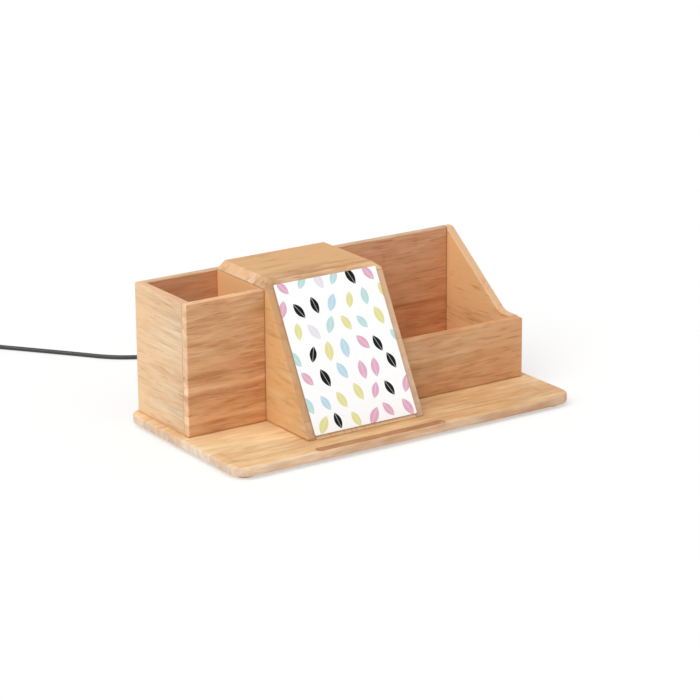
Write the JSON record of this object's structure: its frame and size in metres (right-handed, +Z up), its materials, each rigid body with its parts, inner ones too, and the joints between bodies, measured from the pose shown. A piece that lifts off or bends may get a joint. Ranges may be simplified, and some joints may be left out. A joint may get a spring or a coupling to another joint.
{
  "type": "wireless charger",
  "caption": "Bamboo desk organiser whose sloping front is a wireless phone charging stand, between an open pen box and a low-fronted tray, with a plug-in power lead.",
  "frame": {"origin": "on the desk, under the middle of the base board's footprint, measured without the lead", "axes": "+Z up, +X along the organiser from the pen box to the tray, -Y towards the user"},
  "size_m": [0.359, 0.3578, 0.1013],
  "materials": {
    "bamboo": "satin lacquered laminated bamboo",
    "white_panel": "printed white, smooth",
    "white_plastic": "moulded, matt",
    "rubber": "matt",
    "copper": "wound enamelled copper",
    "ferrite": "matt grey ferrite",
    "circuit_green": "green solder resist",
    "chip_black": "moulded, matt",
    "brass": "turned",
    "steel": "plated",
    "cord_black": "smooth flexible jacket, satin",
    "tie_grey": "matt"
  },
  "bodies": {
    "organiser": {"base_board": "bamboo", "foot_pad_1": "rubber", "foot_pad_2": "rubber", "foot_pad_3": "rubber", "foot_pad_4": "rubber", "back_board": "bamboo", "pen_box_left_wall": "bamboo", "pen_box_front_wall": "bamboo", "housing_left_side": "bamboo", "housing_right_side": "bamboo", "housing_top_board": "bamboo", "slope_board": "bamboo", "print_panel": "white_panel", "tray_front_panel": "bamboo", "tray_right_side": "bamboo", "charging_coil": "copper", "ferrite_shield": "ferrite", "coil_carrier": "white_plastic", "carrier_screw_1": "steel", "carrier_screw_2": "steel", "carrier_screw_3": "steel", "carrier_screw_4": "steel", "coil_wire_1": "copper", "coil_wire_2": "copper", "circuit_board": "circuit_green", "board_standoff_1": "brass", "board_standoff_2": "brass", "board_standoff_3": "brass", "board_standoff_4": "brass", "board_screw_1": "steel", "board_screw_2": "steel", "board_screw_3": "steel", "board_screw_4": "steel", "controller_chip": "chip_black", "driver_chip_1": "chip_black", "driver_chip_2": "chip_black", "power_inductor": "ferrite", "filter_capacitor_1": "steel", "filter_capacitor_2": "steel", "socket_shell": "steel", "socket_tongue": "chip_black"},
    "lead": {"lead_plug_tip": "steel", "lead_plug_body": "cord_black", "lead_plug_relief": "cord_black", "lead_cord": "cord_black", "lead_coil": "cord_black", "cord_tie": "tie_grey", "far_plug_relief": "cord_black", "far_plug_body": "cord_black", "far_plug_shell": "steel", "far_plug_tongue": "white_plastic"}
  },
  "joints": [
    {"name": "lead_slide", "type": "slide", "parent": "organiser", "child": "lead", "axis": [0, 1, 0], "range_m": [0, 0.0135]}
  ]
}
